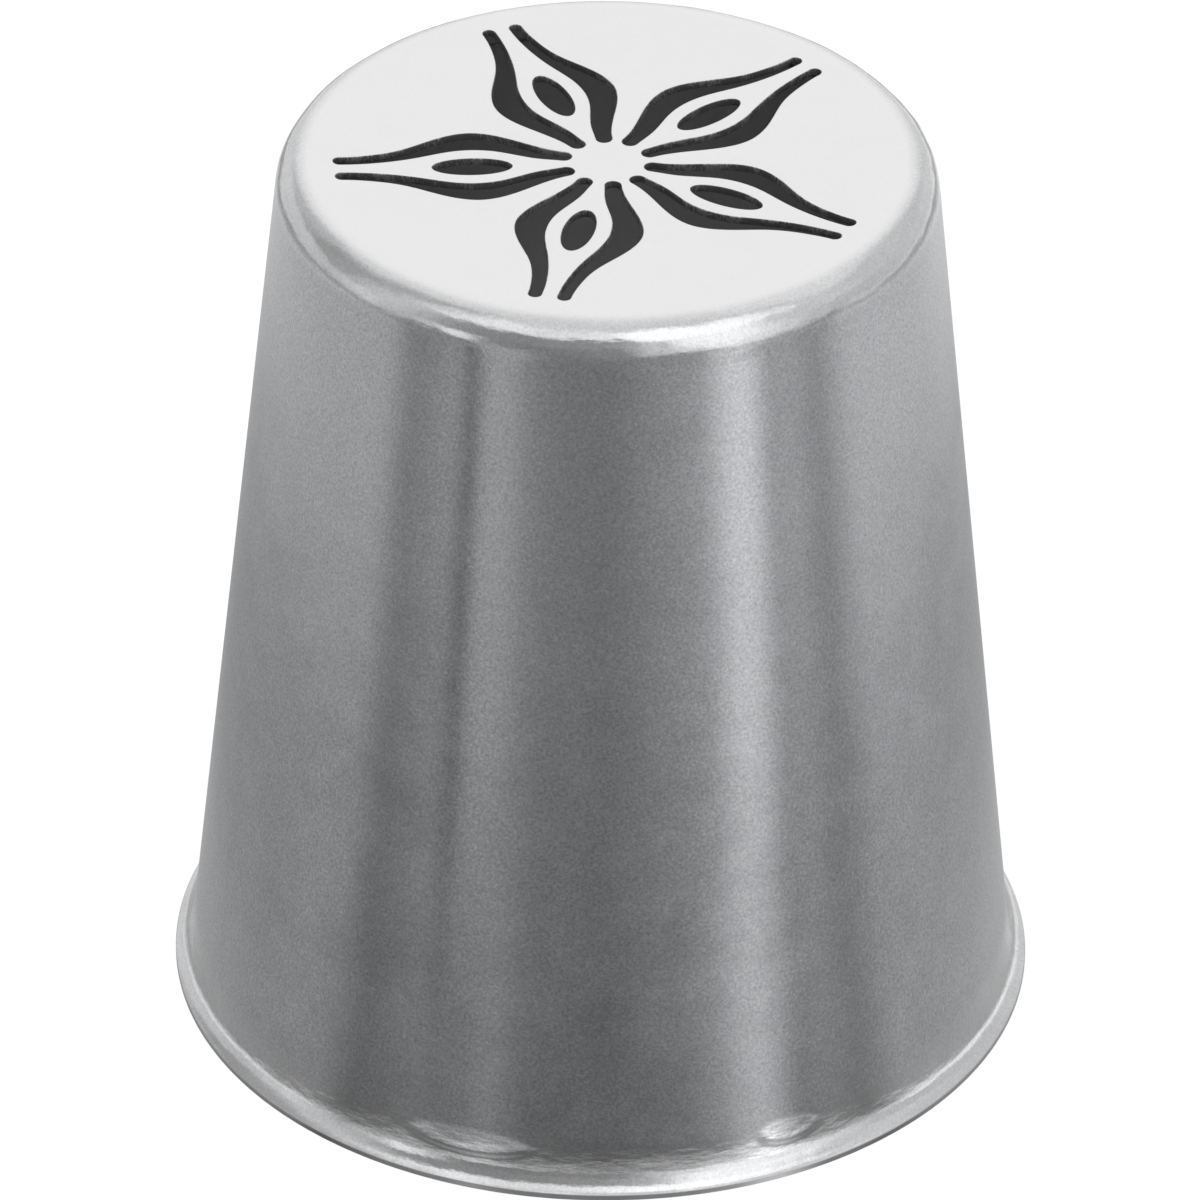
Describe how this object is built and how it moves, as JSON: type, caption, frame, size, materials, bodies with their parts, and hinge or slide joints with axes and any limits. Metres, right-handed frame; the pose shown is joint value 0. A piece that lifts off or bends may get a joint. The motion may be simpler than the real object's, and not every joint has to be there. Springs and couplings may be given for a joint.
{
  "type": "piping nozzle",
  "caption": "Large flower piping nozzle in thin stainless sheet: tapered skirt, flared rim, rounded shoulder and a closed face cut with a petalled pattern of slots.",
  "frame": {"origin": "centre of the wide rim, on the surface that the nozzle stands on", "axes": "+Z along the nozzle's axis, from the wide rim to the cut face; +X and +Y square to it, with one petal 114 degrees round from +X towards +Y"},
  "size_m": [0.035, 0.035, 0.0379],
  "materials": {
    "face_steel": "fine matt face with a hand-polished shoulder",
    "satin_steel": "fine-grained satin, polished at the rim",
    "weld_steel": "ground flush and satin outside, raw inside"
  },
  "bodies": {
    "root": {"face_cap": "face_steel", "cone_shell": "satin_steel", "weld_bead": "weld_steel"}
  },
  "joints": []
}
